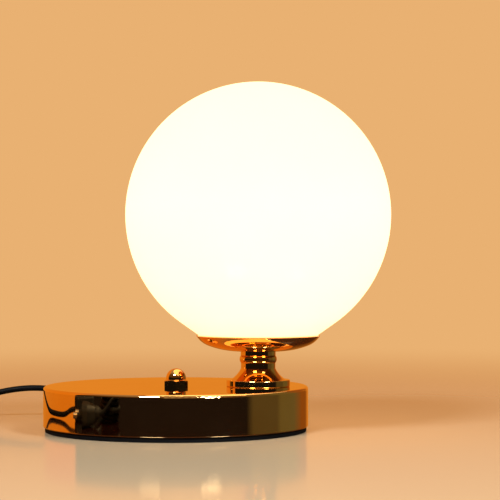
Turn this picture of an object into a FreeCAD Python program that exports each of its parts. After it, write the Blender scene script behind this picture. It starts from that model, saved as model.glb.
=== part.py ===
import FreeCAD, Part
import math
import os
import re
import Sketcher
from FreeCAD import Placement, Rotation, Vector

# Table lamp: opal glass globe on a brass dish and turned neck, off centre on a weighted drum base.
# Origin at the centre of the base on the table, +Z up, the neck stands towards +X. Millimetres.

document = FreeCAD.newDocument("globe_lamp")
sheet = document.addObject("Spreadsheet::Sheet", "sizes")

sizes = {
    # Drum base, from the table up
    "padThickness": 2.4,
    "padInset": 1.0,
    "baseRadius": 75.0,
    "shellHeight": 22.7,
    "shellWall": 1.2,
    "shellRounding": 1.6,
    "shellFootRounding": 0.7,
    "plateThickness": 1.2,
    "plateClearance": 0.3,
    "plateScrewInset": 20.0,
    "plateScrewRadius": 1.5,
    "plateScrewHead": 2.5,
    "plateScrewLength": 7.0,
    "screwClearance": 0.1,
    "weightMargin": 15.0,
    "weightBossRadius": 13.0,
    "weightWellMargin": 2.0,
    # Centre bolt and its cap nut
    "boltRadius": 4.0,
    "boltClearance": 0.2,
    "boltHeadAcross": 13.0,
    "boltHeadHeight": 5.3,
    "boltHeadGap": 0.5,
    "boltWasherRadius": 8.0,
    "boltWasherThickness": 1.6,
    "capAcross": 13.2,
    "capHexHeight": 3.6,
    "capChamfer": 0.9,
    "capDomeRadius": 5.7,
    "capHeight": 9.8,
    "capCrown": 2.8,
    "capHoleSpare": 0.6,
    "capTurn": 8.5,
    # Neck stack, bottom to top
    "neckInset": 28.2,
    "flangeRadius": 18.0,
    "flangeHeight": 3.8,
    "flangeEdge": 0.5,
    "bellFootRadius": 15.6,
    "bellHeight": 6.4,
    "bellHollow": 14.5,
    "stemRadius": 9.75,
    "stemHeight": 3.0,
    "beadBulge": 0.8,
    "beadHeight": 4.4,
    "collarRadius": 9.9,
    "collarHeight": 2.35,
    # Hollow threaded pipe that clamps the neck, with its nuts
    "pipeRadius": 5.0,
    "pipeBore": 3.9,
    "pipeClearance": 0.15,
    "pipeTail": 0.4,
    "pipeNutAcross": 14.0,
    "pipeNutHeight": 4.0,
    "pipeWasherRadius": 9.0,
    "pipeWasherThickness": 1.4,
    "lockWasherRadius": 8.0,
    "lockWasherThickness": 1.0,
    "upperNutHeight": 3.0,
    # Spun dish: flat floor, a slow curve, then a quick curve up to the rim
    "dishFloorRadius": 12.0,
    "dishLowerArc": 44.7,
    "dishKneeMargin": 0.5,
    "dishUpperArc": 13.2,
    "dishRimReach": 6.4,
    "dishWall": 0.8,
    # Seat of the globe and the spring that grips it
    "gasketInset": 0.2,
    "gasketEdge": 1.22,
    "gasketGap": 0.05,
    "springThickness": 0.5,
    "springWidth": 5.0,
    "springHubInset": 0.5,
    "springClearance": 0.2,
    "springLegs": 3,
    "springRoot": 3.0,
    "springBowIn": 3.8,
    "springBowDrop": 2.0,
    "springGripRise": 1.2,
    "springLeanIn": 0.8,
    "springLeanRise": 6.8,
    "springTipIn": 2.6,
    "springTipRise": 11.8,
    # Opal globe
    "globeRadius": 75.0,
    "globeWall": 2.5,
    "globeShoulderAngle": 35.3,
    "globeLipRadius": 28.1,
    "globeMouthRadius": 25.0,
    # Lampholder
    "holderHubRadius": 10.0,
    "holderRadius": 13.8,
    "holderFloor": 3.0,
    "holderFlare": 6.0,
    "holderWall": 1.8,
    "holderLedgeRise": 8.0,
    "holderLedge": 1.5,
    "insertThickness": 5.0,
    "holderFit": 0.1,
    "pipeEntry": 1.0,
    "sleeveRadius": 7.3,
    "sleeveWall": 0.5,
    "sleeveLength": 22.0,
    "sleeveRecess": 3.5,
    "holderBodyDraft": 1.4,
    "holderContactRadius": 3.0,
    "holderContactHeight": 1.7,
    # Bulb
    "bulbGap": 0.3,
    "bulbContactRadius": 2.4,
    "bulbContactHeight": 1.5,
    "insulatorHeight": 2.5,
    "bulbFit": 0.4,
    "bulbCollarGap": 1.5,
    "bulbCollarStep": 0.4,
    "bulbCollarLand": 2.0,
    "bulbCollarHollow": 26.0,
    "bulbRadius": 22.5,
    "bulbLength": 78.0,
    "bulbSeamRadius": 15.3,
    "domeWall": 1.2,
    "boardThickness": 1.2,
    "boardMargin": 0.6,
    # Cord, its grommet and its clamp
    "cordDiameter": 3.6,
    "cordAngle": 136.0,
    "cordExitDrop": 8.6,
    "cordSeat": 0.3,
    "grommetHole": 3.6,
    "grommetFit": 0.1,
    "grommetFlange": 5.2,
    "grommetFlangeThickness": 1.5,
    "grommetWallGap": 0.25,
    "grommetLength": 22.0,
    "grommetCollar": 2.0,
    "grommetWaist": 4.0,
    "grommetTip": 2.6,
    "clampInset": 7.0,
    "clampLength": 8.0,
    "clampWidth": 21.0,
    "clampHeight": 6.0,
    "clampScrewSpread": 7.2,
    "clampScrewRadius": 1.5,
    "clampScrewHead": 2.7,
    "clampScrewHeadHeight": 1.6,
    "clampScrewGrip": 5.0,
    "innerCordTail": 4.0,
    "wireDiameter": 1.6,
    "wireSpread": 0.95,
    "wireFirstRun": 12.0,
    "wireBossGap": 5.0,
    "wireApproach": 30.0,
    "wireBend": 12.0,
    "wireSag": 0.4,
    # Inline switch, lying on the table along the cord
    "switchX": -163.0,
    "switchY": -88.0,
    "switchHeading": 274.0,
    "switchLength": 58.0,
    "switchWidth": 24.0,
    "switchHeight": 15.0,
    "switchSplit": 6.5,
    "switchCorner": 9.0,
    "switchEdge": 2.0,
    "switchWall": 2.0,
    "switchCavityMargin": 4.0,
    "switchScrewInset": 6.0,
    "switchScrewRadius": 1.3,
    "switchScrewHead": 2.4,
    "switchScrewHeadHeight": 1.6,
    "switchScrewGrip": 4.0,
    "rockerReach": 9.2,
    "rockerWidth": 11.4,
    "rockerGap": 0.4,
    "rockerPivotDrop": 4.4,
    "rockerDepth": 2.6,
    "rockerRise": 5.2,
    "rockerDish": 40.0,
    "rockerPinRadius": 1.2,
    "rockerPinLength": 1.8,
    "rockerPinClearance": 0.08,
    "rockerTilt": 9.0,
    "contactStripWidth": 5.0,
    "contactStripThickness": 0.8,
    "contactStripLength": 12.0,
    # Coil of the length that is put away, and its tie
    "coilX": -133.3,
    "coilY": -156.6,
    "coilRadius": 24.7,
    "coilGap": 0.5,
    "coilLift": 1.2,
    "tieWidth": 5.0,
    "tieThickness": 0.8,
    "tieClearance": 0.35,
    "tieSlack": 0.7,
    "tieCorner": 2.2,
    # Flat two-pin plug
    "plugX": -113.8,
    "plugY": -110.6,
    "plugHeading": 105.0,
    "plugTailRadius": 3.4,
    "plugTailLength": 10.0,
    "plugBodyLength": 36.0,
    "plugNeckWidth": 15.0,
    "plugNeckThickness": 10.0,
    "plugWidth": 35.3,
    "plugThickness": 13.7,
    "plugCorner": 5.0,
    "pinRadius": 2.0,
    "pinReach": 19.0,
    "pinSpacing": 18.6,
    "pinRoot": 8.0,
    "pinFit": 0.05,
}

for row, (name, size) in enumerate(sizes.items(), start=1):
    sheet.set(f"A{row}", name)
    sheet.set(f"B{row}", str(size))
    sheet.setAlias(f"B{row}", name)
document.recompute()

pieces = []
cuts = []


def total(*terms):
    return "(" + " + ".join(terms) + ")"


def value(expression):
    # Number that an expression over the sheet's names gives
    return float(sheet.evalExpression(expression))


def bind(feature, path, expression):
    # Ties a property to the sheet; every name in the expression is a cell of the sheet
    def cell(found):
        return "sizes." + found.group() if found.group() in sizes else found.group()
    feature.setExpression(path, re.sub(r"[A-Za-z]\w*", cell, expression))


def turn_by(angle_name):
    return f"({angle_name} * 1 deg)"


def origin_plane(body, role):
    return next(item for item in body.Origin.OriginFeatures if item.Role == role)


def new_body(label, along_x=None, along_y=None, up=None, heading=None):
    # A body whose place on the lamp is tied to the sheet
    body = document.addObject("PartDesign::Body", label)
    body.Label = label
    body.Placement = Placement(Vector(), Rotation(Vector(0, 0, 1), 1))
    moves = {"Base.x": along_x, "Base.y": along_y, "Base.z": up}
    for path, expression in moves.items():
        if expression:
            bind(body, "Placement." + path, expression)
    bind(body, "Placement.Rotation.Angle", heading or "0")
    return body


def hold_point(sketch, side, end, across, up):
    # Pins one corner of a sketch by its two coordinates
    for kind, axis, expression in (("DistanceX", -2, across), ("DistanceY", -1, up)):
        if expression == "0":
            sketch.addConstraint(Sketcher.Constraint("PointOnObject", side, end, axis))
        else:
            index = sketch.addConstraint(Sketcher.Constraint(kind, -1, 1, side, end, value(expression)))
            bind(sketch, f"Constraints[{index}]", expression)


def arc_between(start, finish, radius, to_left):
    # Arc of less than a half circle that leaves start and bends to the left or right of the chord
    chord = finish - start
    rise = math.sqrt(max(radius**2 - chord.Length**2 / 4, 0))
    normal = Vector(-chord.y, chord.x).normalize()
    centre = (start + finish) / 2 + normal * (rise if to_left else -rise)
    first, last = (start, finish) if to_left else (finish, start)
    begin = math.atan2(first.y - centre.y, first.x - centre.x)
    end = math.atan2(last.y - centre.y, last.x - centre.x)
    return Part.ArcOfCircle(Part.Circle(centre, Vector(0, 0, 1), radius), begin, end)


def outline(body, name, plane, corners, holes=(), lift="0"):
    # Closed outline through corners (across, up). A corner with a radius and a side is reached by an arc.
    sketch = body.newObject("Sketcher::SketchObject", name)
    sketch.AttachmentSupport = [(origin_plane(body, plane), "")]
    sketch.MapMode = "FlatFace"
    if lift != "0":
        bind(sketch, "AttachmentOffset.Base.z", lift)
    places = [Vector(value(corner[0]), value(corner[1])) for corner in corners]
    ends = []
    for number, corner in enumerate(corners):
        start, finish = places[number - 1], places[number]
        if len(corner) == 2:
            side = sketch.addGeometry(Part.LineSegment(start, finish))
            ends.append((side, 1, 2))
        else:
            to_left = corner[3] == "left"
            side = sketch.addGeometry(arc_between(start, finish, value(corner[2]), to_left))
            ends.append((side, 1, 2) if to_left else (side, 2, 1))
    for number, (side, _, end) in enumerate(ends):
        following, begin, _ = ends[(number + 1) % len(ends)]
        sketch.addConstraint(Sketcher.Constraint("Coincident", side, end, following, begin))
    for (side, _, end), corner in zip(ends, corners):
        hold_point(sketch, side, end, corner[0], corner[1])
        if len(corner) > 2:
            index = sketch.addConstraint(Sketcher.Constraint("Radius", side, value(corner[2])))
            bind(sketch, f"Constraints[{index}]", corner[2])
    for across, up, radius in holes:
        circle = Part.Circle(Vector(value(across), value(up)), Vector(0, 0, 1), value(radius))
        side = sketch.addGeometry(circle)
        hold_point(sketch, side, 3, across, up)
        index = sketch.addConstraint(Sketcher.Constraint("Radius", side, value(radius)))
        bind(sketch, f"Constraints[{index}]", radius)
    return sketch


def circles(body, name, plane, rings, lift="0"):
    return outline(body, name, plane, (), rings, lift)


def revolve(body, name, corners, axis="V_Axis", kind="PartDesign::Revolution"):
    sketch = outline(body, name + "_profile", "XZ_Plane", corners)
    feature = body.newObject(kind, name)
    feature.Profile = sketch
    feature.ReferenceAxis = (sketch, [axis])
    feature.Angle = 360
    body.Tip = feature
    return feature


def pad(body, name, sketch, height, both_ways=False):
    feature = body.newObject("PartDesign::Pad", name)
    feature.Profile = sketch
    bind(feature, "Length", height)
    feature.Midplane = both_ways
    body.Tip = feature
    return feature


def pocket(body, name, sketch, depth, upwards=False, both_ways=False):
    # Cuts down from the sketch unless upwards; the volume is compared at the end
    before = body.Tip
    feature = body.newObject("PartDesign::Pocket", name)
    feature.Profile = sketch
    bind(feature, "Length", depth)
    feature.Reversed = upwards
    feature.Midplane = both_ways
    body.Tip = feature
    cuts.append((before, feature))
    return feature


def round_edges(body, name, radius, chosen):
    # Fillet on the edges of the body so far that the test picks
    document.recompute()
    base = body.Tip
    names = [f"Edge{n}" for n, edge in enumerate(base.Shape.Edges, start=1) if chosen(edge)]
    feature = body.newObject("PartDesign::Fillet", name)
    feature.Base = (base, names)
    bind(feature, "Radius", radius)
    body.Tip = feature
    return feature


def level_edge(height):
    # Test for an edge that lies flat at one height
    def chosen(edge):
        box = edge.BoundBox
        return abs(box.ZMin - height) < 1e-4 and abs(box.ZMax - height) < 1e-4
    return chosen


def turned(label, corners, **place):
    body = new_body(label, **place)
    revolve(body, label + "_turning", corners)
    pieces.append(body)
    return body


def tube_corners(inner, outer, bottom, top):
    return [(inner, bottom), (outer, bottom), (outer, top), (inner, top)]


def disc_corners(outer, bottom, top):
    return [("0", bottom), (outer, bottom), (outer, top), ("0", top)]


def hexagon(across):
    # Six corners with one of them towards -Y
    far = f"{across} / sqrt(3)"
    near = f"{across} / (2 * sqrt(3))"
    half = f"{across} / 2"
    return [("0", "-" + far), (half, "-" + near), (half, near), ("0", far),
            ("-" + half, near), ("-" + half, "-" + near)]


def rectangle(low_x, high_x, low_y, high_y):
    return [(low_x, low_y), (high_x, low_y), (high_x, high_y), (low_x, high_y)]


def rounded_rectangle(half_x, half_y, corner, centre_y="0"):
    # Straight sides with a quarter round at each corner, about a centre on the Y axis
    inner_x, inner_y = f"({half_x} - {corner})", f"({half_y} - {corner})"
    return [
        (f"-{inner_x}", f"{centre_y} - {half_y}"), (inner_x, f"{centre_y} - {half_y}"),
        (half_x, f"{centre_y} - {inner_y}", corner, "left"), (half_x, f"{centre_y} + {inner_y}"),
        (inner_x, f"{centre_y} + {half_y}", corner, "left"), (f"-{inner_x}", f"{centre_y} + {half_y}"),
        (f"-{half_x}", f"{centre_y} + {inner_y}", corner, "left"), (f"-{half_x}", f"{centre_y} - {inner_y}"),
        (f"-{inner_x}", f"{centre_y} - {half_y}", corner, "left"),
    ][1:]


def hex_nut(label, across, height, bottom, **place):
    body = new_body(label, up=bottom, **place)
    bore = ("0", "0", total("pipeRadius", "pipeClearance"))
    sketch = outline(body, label + "_hexagon", "XY_Plane", hexagon(across), [bore])
    pad(body, label + "_block", sketch, height)
    pieces.append(body)


def ring_of_points(ring, count, start):
    # Evenly spaced places on a circle, as expressions
    angles = [math.radians(start + 360 * n / count) for n in range(count)]
    return [(f"{ring} * {math.cos(a):.6f}", f"{ring} * {math.sin(a):.6f}") for a in angles]


def polar_copies(body, feature, count):
    # Repeats a feature about the body's upright axis
    pattern = body.newObject("PartDesign::PolarPattern", feature.Name + "_ring")
    pattern.Originals = [feature]
    pattern.Axis = (origin_plane(body, "Z_Axis"), [""])
    pattern.Angle = 360
    pattern.Occurrences = count
    body.Tip = pattern
    return pattern


def cut(label, base, tool):
    feature = document.addObject("Part::Cut", label)
    feature.Label = label
    feature.Base = base
    feature.Tool = tool
    pieces.append(feature)
    return feature


# Sizes that follow from the sheet

neck_at = "(baseRadius - neckInset)"
weight_radius = "(baseRadius - weightMargin)"
plate_ring = f"({weight_radius} - plateScrewInset)"
well_radius = "(boltHeadAcross / sqrt(3) + weightWellMargin)"
clamp_ring = f"({weight_radius} - clampInset)"
inner_cord_end = f"({clamp_ring} - clampLength / 2 - innerCordTail)"
cap_hole = "(capHeight - capCrown)"
bolt_reach = f"({cap_hole} - capHoleSpare)"
bolt_hole = total("boltRadius", "boltClearance")
pipe_hole = total("pipeRadius", "pipeClearance")
gasket_inner = "(globeMouthRadius - gasketInset)"
gasket_outer = "(globeLipRadius - gasketInset)"
knee_radius = total("globeLipRadius", "dishKneeMargin")
rim_radius = total(knee_radius, "dishRimReach")
inner_lower_arc = "(dishLowerArc - dishWall)"
inner_upper_arc = "(dishUpperArc - dishWall)"
bulb_cap_radius = "(sleeveRadius - bulbFit)"
screw_reach = "(switchLength / 2 - switchScrewInset)"
pivot_height = "(switchHeight - rockerPivotDrop)"

# Heights of the stack, from the table up

shell_top = total("padThickness", "shellHeight")
exit_height = f"({shell_top} - cordExitDrop)"
ceiling = f"({shell_top} - shellWall)"
plate_top = total("padThickness", "plateThickness")
weight_top = f"({exit_height} - cordDiameter / 2 - cordSeat)"
well_top = total(plate_top, "boltHeadGap", "boltHeadHeight", "boltWasherThickness")
head_top = f"({well_top} - boltWasherThickness)"
bolt_top = total(shell_top, bolt_reach)
flange_top = total(shell_top, "flangeHeight")
bell_top = total(flange_top, "bellHeight")
stem_top = total(bell_top, "stemHeight")
bead_top = total(stem_top, "beadHeight")
dish_floor = total(bead_top, "collarHeight")
dish_inside = total(dish_floor, "dishWall")
spring_top = total(dish_inside, "springThickness")
lock_top = total(spring_top, "lockWasherThickness")
holder_bottom = total(lock_top, "upperNutHeight")
ledge_top = total(holder_bottom, "holderLedgeRise")
holder_cap_top = total(ledge_top, "insertThickness")
bulb_tip = total(holder_cap_top, "holderContactHeight", "bulbGap")
pipe_nut_top = f"({ceiling} - pipeWasherThickness)"
pipe_nut_bottom = f"({pipe_nut_top} - pipeNutHeight)"


# Drum base: thin drawn shell over a cast weight, closed by a plate and a foot pad

def base_shell():
    drum = new_body("drum")
    inside = "(baseRadius - shellWall)"
    corner = "(baseRadius - shellRounding)"
    corner_height = f"({shell_top} - shellRounding)"
    revolve(drum, "drum_drawing", [
        (bolt_hole, ceiling),
        (corner, ceiling),
        (inside, corner_height, "shellRounding - shellWall", "right"),
        (inside, "padThickness"),
        ("(baseRadius - shellFootRounding)", "padThickness"),
        ("baseRadius", "(padThickness + shellFootRounding)", "shellFootRounding", "left"),
        ("baseRadius", corner_height),
        (corner, shell_top, "shellRounding", "left"),
        (bolt_hole, shell_top),
    ])
    hole = circles(drum, "neck_hole_circle", "XY_Plane", [(neck_at, "0", pipe_hole)], shell_top)
    pocket(drum, "neck_hole", hole, "2 * shellWall")
    punch = new_body("cord_punch", up=exit_height, heading="cordAngle")
    revolve(punch, "cord_punch_turning", [
        ("baseRadius / 2", "0"), ("baseRadius + shellWall", "0"),
        ("baseRadius + shellWall", "grommetHole"), ("baseRadius / 2", "grommetHole"),
    ], "H_Axis")
    cut("base_shell", drum, punch)


def clamp_screw_places():
    # Screw places of the cord clamp, turned to the cord's direction
    across, along = f"cos{turn_by('cordAngle')}", f"sin{turn_by('cordAngle')}"
    return [
        (f"{clamp_ring} * {across} {far} clampScrewSpread * {along}",
         f"{clamp_ring} * {along} {near} clampScrewSpread * {across}")
        for far, near in (("-", "+"), ("+", "-"))
    ]


def counterweight():
    weight = new_body("counterweight")
    revolve(weight, "weight_casting", [
        (bolt_hole, well_top),
        (well_radius, well_top),
        (well_radius, plate_top),
        (weight_radius, plate_top),
        (weight_radius, weight_top),
        ("weightBossRadius", weight_top),
        ("weightBossRadius", ceiling),
        (bolt_hole, ceiling),
    ])
    screw_hole = total("plateScrewRadius", "screwClearance")
    plate_places = ring_of_points(plate_ring, 3, 90)
    holes = [(x, y, screw_hole) for x, y in plate_places]
    pocket(weight, "plate_screw_holes", circles(weight, "plate_screw_circles", "XY_Plane", holes, plate_top),
           total("plateScrewLength", "screwClearance"), upwards=True)
    clamp_hole = total("clampScrewRadius", "screwClearance")
    holes = [(x, y, clamp_hole) for x, y in clamp_screw_places()]
    pocket(weight, "clamp_screw_holes", circles(weight, "clamp_screw_circles", "XY_Plane", holes, weight_top),
           total("clampScrewGrip", "screwClearance"))
    pieces.append(weight)


def countersunk_corners(play):
    # Half section of a countersunk screw about its own axis, grown by the play
    ring = plate_ring
    shank = f"{ring} + plateScrewRadius + {play}"
    head = f"{ring} + plateScrewHead + {play}"
    return [
        (ring, "padThickness"), (head, "padThickness"), (shank, plate_top),
        (shank, f"{plate_top} + plateScrewLength"), (ring, f"{plate_top} + plateScrewLength"),
    ]


def bottom_plate():
    disc = new_body("plate_disc")
    outer = "(baseRadius - shellWall - plateClearance)"
    revolve(disc, "plate_blank", disc_corners(outer, "padThickness", plate_top))
    tool = countersunk_screws("plate_countersinks", "screwClearance")
    cut("bottom_plate", disc, tool)
    pieces.append(countersunk_screws("plate_screws", "0"))


def countersunk_screws(label, play):
    # Three countersunk screws on a ring, the first towards +Y
    body = new_body(label, heading="90")
    sketch = outline(body, label + "_profile", "XZ_Plane", countersunk_corners(play))
    screw = body.newObject("PartDesign::Revolution", label + "_turning")
    screw.Profile = sketch
    screw.ReferenceAxis = (sketch, ["Edge1"])
    screw.Angle = 360
    body.Tip = screw
    polar_copies(body, screw, 3)
    return body


def foot_pad():
    outer = "(baseRadius - padInset)"
    turned("foot_pad", disc_corners(outer, "0", "padThickness"))


def centre_bolt():
    bolt = new_body("centre_bolt")
    head = outline(bolt, "bolt_head_hexagon", "XY_Plane", hexagon("boltHeadAcross"),
                   lift=f"{head_top} - boltHeadHeight")
    pad(bolt, "bolt_head", head, "boltHeadHeight")
    shank = circles(bolt, "bolt_shank_circle", "XY_Plane", [("0", "0", "boltRadius")], head_top)
    pad(bolt, "bolt_shank", shank, f"{bolt_top} - {head_top}")
    pieces.append(bolt)
    turned("bolt_washer", tube_corners(bolt_hole, "boltWasherRadius", head_top, well_top))


def cap_nut():
    # Low cap nut: hexagon with a turned chamfer under a domed cap, threaded from below
    nut = new_body("cap_nut", up=shell_top, heading="capTurn")
    hexagon_outline = outline(nut, "cap_hexagon", "XY_Plane", hexagon("capAcross"))
    pad(nut, "cap_hexagon_block", hexagon_outline, "capHexHeight")
    corner = "capAcross / sqrt(3)"
    beyond = f"{corner} + capChamfer"
    before = nut.Tip
    chamfer = revolve(nut, "cap_chamfer", [
        (f"{corner} - 2 * capChamfer", "capHexHeight"), (beyond, "capHexHeight - 1.5 * capChamfer"),
        (beyond, "capHexHeight + capChamfer"), (f"{corner} - 2 * capChamfer", "capHexHeight + capChamfer"),
    ], kind="PartDesign::Groove")
    cuts.append((before, chamfer))
    dome_foot = "(capHeight - capDomeRadius)"
    revolve(nut, "cap_dome", [
        ("0", "capHexHeight / 2"), ("capDomeRadius", "capHexHeight / 2"), ("capDomeRadius", dome_foot),
        ("0", "capHeight", "capDomeRadius", "left"),
    ])
    thread_radius = total("boltRadius", "screwClearance")
    thread = circles(nut, "cap_thread_circle", "XY_Plane", [("0", "0", thread_radius)])
    pocket(nut, "cap_thread", thread, cap_hole, upwards=True)
    pieces.append(nut)


# Neck: turned brass pieces strung on the pipe

def neck():
    on_neck = {"along_x": neck_at}
    edge_foot = f"({shell_top} + flangeEdge)"
    edge_head = f"({flange_top} - flangeEdge)"
    inset = "(flangeRadius - flangeEdge)"
    turned("neck_flange", [
        (pipe_hole, shell_top), (inset, shell_top), ("flangeRadius", edge_foot, "flangeEdge", "left"),
        ("flangeRadius", edge_head), (inset, flange_top, "flangeEdge", "left"), (pipe_hole, flange_top),
    ], **on_neck)
    turned("neck_bell", [
        (pipe_hole, flange_top), ("bellFootRadius", flange_top),
        ("stemRadius", bell_top, "bellHollow", "right"), ("stemRadius", stem_top), (pipe_hole, stem_top),
    ], **on_neck)
    bead_round = "((beadHeight / 2)^2 + beadBulge^2) / (2 * beadBulge)"
    turned("neck_bead", [
        (pipe_hole, stem_top), ("stemRadius", stem_top),
        ("stemRadius", bead_top, bead_round, "left"), (pipe_hole, bead_top),
    ], **on_neck)
    turned("neck_collar", tube_corners(pipe_hole, "collarRadius", bead_top, dish_floor), **on_neck)
    pipe_bottom = f"({pipe_nut_bottom} - pipeTail)"
    pipe_top = total(holder_bottom, "holderFloor", "pipeEntry")
    turned("lamp_pipe", tube_corners("pipeBore", "pipeRadius", pipe_bottom, pipe_top), **on_neck)
    turned("pipe_washer", tube_corners(pipe_hole, "pipeWasherRadius", pipe_nut_top, ceiling), **on_neck)
    hex_nut("pipe_nut", "pipeNutAcross", "pipeNutHeight", pipe_nut_bottom, **on_neck)
    turned("lock_washer", tube_corners(pipe_hole, "lockWasherRadius", spring_top, lock_top), **on_neck)
    hex_nut("upper_nut", "pipeNutAcross", "upperNutHeight", lock_top, **on_neck)


# Dish and globe seat

knee_lean = f"(({knee_radius} - dishFloorRadius) / dishLowerArc)"
rim_lean = f"({knee_lean} + ({rim_radius} - {knee_radius}) / dishUpperArc)"
knee_upright = f"sqrt(1 - {knee_lean}^2)"
rim_upright = f"sqrt(1 - {rim_lean}^2)"
knee_height = f"({dish_floor} + dishLowerArc * (1 - {knee_upright}))"
rim_height = f"({knee_height} + dishUpperArc * ({knee_upright} - {rim_upright}))"


def inside_of_dish(radius):
    # Height of the dish's inner face at a radius on its slow curve
    return f"({dish_floor} + dishLowerArc - sqrt({inner_lower_arc}^2 - ({radius} - dishFloorRadius)^2))"


seat = total(inside_of_dish(gasket_outer), "gasketGap", "gasketEdge")


def dish():
    inner_knee = f"({knee_radius} - dishWall * {knee_lean})"
    inner_knee_height = f"({knee_height} + dishWall * {knee_upright})"
    inner_rim = f"({rim_radius} - dishWall * {rim_lean})"
    inner_rim_height = f"({rim_height} + dishWall * {rim_upright})"
    turned("dish", [
        (pipe_hole, dish_floor),
        ("dishFloorRadius", dish_floor),
        (knee_radius, knee_height, "dishLowerArc", "left"),
        (rim_radius, rim_height, "dishUpperArc", "left"),
        (inner_rim, inner_rim_height),
        (inner_knee, inner_knee_height, inner_upper_arc, "right"),
        ("dishFloorRadius", dish_inside, inner_lower_arc, "right"),
        (pipe_hole, dish_inside),
    ], along_x=neck_at)


def dish_gasket():
    turned("dish_gasket", [
        (gasket_inner, f"{inside_of_dish(gasket_inner)} + gasketGap"),
        (gasket_outer, f"{inside_of_dish(gasket_outer)} + gasketGap"),
        (gasket_outer, seat),
        (gasket_inner, seat),
    ], along_x=neck_at)


def rounded_route(points):
    # Straight runs joined by tangent arcs that take 0.45 of the shorter run on each side of a corner
    edges, radii = [], []
    here = points[0]
    for before, corner, after in zip(points, points[1:], points[2:]):
        back, ahead = before - corner, after - corner
        half_turn = (math.pi - back.getAngle(ahead)) / 2
        trim = 0.45 * min(back.Length, ahead.Length)
        radius = trim / math.tan(half_turn)
        back.normalize()
        ahead.normalize()
        first, last = corner + back * trim, corner + ahead * trim
        middle = corner + (back + ahead).normalize() * radius * (1 / math.cos(half_turn) - 1)
        edges.append(Part.LineSegment(here, first).toShape())
        edges.append(Part.Arc(first, middle, last).toShape())
        radii.append(radius)
        here = last
    edges.append(Part.LineSegment(here, points[-1]).toShape())
    return Part.Wire(edges), radii


def place_shape(label, shape):
    feature = document.addObject("Part::Feature", label)
    feature.Label = label
    feature.Shape = shape
    pieces.append(feature)
    return feature


def swept_round(path, diameter):
    # Solid round tube along a wire
    start = path.Edges[0]
    first = start.FirstParameter
    mouth = Part.Circle(start.valueAt(first), start.tangentAt(first), diameter / 2)
    return path.makePipeShell([Part.Wire(mouth.toShape())], True, False)


def tube(label, points, diameter):
    path, radii = rounded_route(points)
    solid = swept_round(path, diameter)
    ratio = solid.Volume / (math.pi * diameter**2 / 4 * path.Length)
    print(f"{label}: length {path.Length:.1f}, least radius {min(radii):.1f}, volume ratio {ratio:.4f}")
    return place_shape(label, solid)


def globe_spring():
    # Flat hub with three sprung legs that bow out to the mouth of the globe
    hub_low, hub_high = value(dish_inside), value(spring_top)
    thick, wide = value("springThickness"), value("springWidth")
    middle = (hub_low + hub_high) / 2
    grip = value("globeMouthRadius - springClearance")
    seat_height = value(seat)
    hub_radius = value("dishFloorRadius - springHubInset")
    line = [
        Vector(hub_radius - value("springRoot"), 0, middle),
        Vector(hub_radius, 0, middle),
        Vector(grip - value("springBowIn"), 0, seat_height - value("springBowDrop")),
        Vector(grip, 0, seat_height + value("springGripRise")),
        Vector(grip - value("springLeanIn"), 0, seat_height + value("springLeanRise")),
        Vector(grip - value("springTipIn"), 0, seat_height + value("springTipRise")),
    ]
    path, _ = rounded_route(line)
    strip = [Vector(line[0].x, y, middle + z) for y, z in (
        (-wide / 2, -thick / 2), (wide / 2, -thick / 2), (wide / 2, thick / 2), (-wide / 2, thick / 2))]
    leg = path.makePipeShell([Part.makePolygon(strip + strip[:1])], True, False)
    hub = Part.makeCylinder(hub_radius, thick, Vector(0, 0, hub_low))
    bore = Part.makeCylinder(value(pipe_hole), thick, Vector(0, 0, hub_low))
    count = int(value("springLegs"))
    legs = []
    for number in range(count):
        copy = leg.copy()
        copy.rotate(Vector(), Vector(0, 0, 1), 360 * number / count)
        legs.append(copy)
    spring = place_shape("globe_spring", hub.cut(bore).fuse(legs).removeSplitter())
    spring.Placement = Placement(Vector(), Rotation(Vector(0, 0, 1), 30))
    bind(spring, "Placement.Base.x", neck_at)


def globe():
    # Sphere that runs out into a straight shoulder towards a flat ground mouth
    angle = turn_by("globeShoulderAngle")
    shoulder = f"(globeRadius * sin{angle})"
    shoulder_height = f"({seat} + ({shoulder} - globeLipRadius) * tan{angle})"
    centre = f"({shoulder_height} + globeRadius * cos{angle})"
    inner_radius = "(globeRadius - globeWall)"
    inner_shoulder = f"({inner_radius} * sin{angle})"
    inner_shoulder_height = f"({centre} - {inner_radius} * cos{angle})"
    mouth_height = f"({inner_shoulder_height} - ({inner_shoulder} - globeMouthRadius) * tan{angle})"
    top = f"({centre} + globeRadius)"
    turned("globe", [
        ("globeMouthRadius", seat),
        ("globeLipRadius", seat),
        (shoulder, shoulder_height),
        ("globeRadius", centre, "globeRadius", "left"),
        ("0", top, "globeRadius", "left"),
        ("0", f"{top} - globeWall"),
        (inner_radius, centre, inner_radius, "right"),
        (inner_shoulder, inner_shoulder_height, inner_radius, "right"),
        ("globeMouthRadius", mouth_height),
    ], along_x=neck_at)


# Lampholder and bulb

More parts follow.
